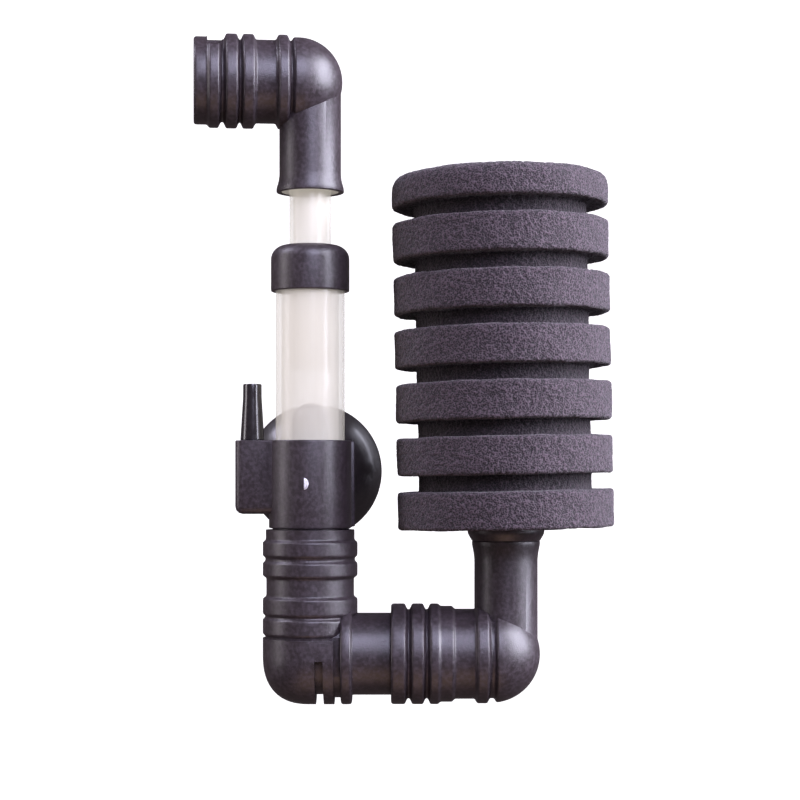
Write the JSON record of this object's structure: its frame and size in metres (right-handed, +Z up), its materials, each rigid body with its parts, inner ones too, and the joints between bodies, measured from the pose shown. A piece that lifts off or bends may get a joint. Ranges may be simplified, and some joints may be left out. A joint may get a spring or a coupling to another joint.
{
  "type": "sponge filter",
  "caption": "Air-driven sponge filter for a small aquarium: finned foam on a ribbed elbow arm, clear lift tube, air nipple, turning outlet elbow and a suction cup.",
  "frame": {"origin": "centre of the suction cup's rim, on the face of the glass it sticks to", "axes": "+Z up along the lift column, +Y through the glass, +X along the arm towards the sponge"},
  "size_m": [0.1079, 0.0565, 0.1702],
  "materials": {
    "black_plastic": "satin",
    "black_gloss": "gloss",
    "cup_rubber": "satin",
    "clear_tube": "gloss",
    "foam": "matte"
  },
  "bodies": {
    "cup": {"suction_cup": "cup_rubber"},
    "column": {"air_chamber": "black_plastic", "air_nipple": "black_gloss", "air_diffuser": "black_plastic", "outer_lift_tube": "clear_tube", "tube_collar": "black_plastic"},
    "slide_tube": {"inner_lift_tube": "clear_tube"},
    "outlet": {"outlet_elbow": "black_plastic"},
    "arm": {"base_elbow": "black_plastic"},
    "sponge_arm": {"sponge_elbow": "black_plastic", "strainer_core": "black_plastic"},
    "foam": {"sponge": "foam"}
  },
  "joints": [
    {"name": "cup_turn", "type": "hinge", "parent": "cup", "child": "column", "pos_m": [0, 0, 0], "axis": [0, 1, 0], "continuous": true},
    {"name": "tube_slide", "type": "slide", "parent": "column", "child": "slide_tube", "axis": [0, 0, 1], "range_m": [-0.011, 0.025]},
    {"name": "outlet_swivel", "type": "hinge", "parent": "slide_tube", "child": "outlet", "pos_m": [0, -0.029, 0.0709], "axis": [0, 0, 1], "range_deg": [-50, 218]},
    {"name": "arm_swing", "type": "hinge", "parent": "column", "child": "arm", "pos_m": [0, -0.029, -0.0149], "axis": [0, 0, 1], "range_deg": [-180, 0]},
    {"name": "elbow_tilt", "type": "hinge", "parent": "arm", "child": "sponge_arm", "pos_m": [0.0206, -0.029, -0.04655], "axis": [1, 0, 0], "range_deg": [0, 180]},
    {"name": "foam_lift", "type": "slide", "parent": "sponge_arm", "child": "foam", "axis": [0, 0, 1], "range_m": [0, 0.085]}
  ]
}
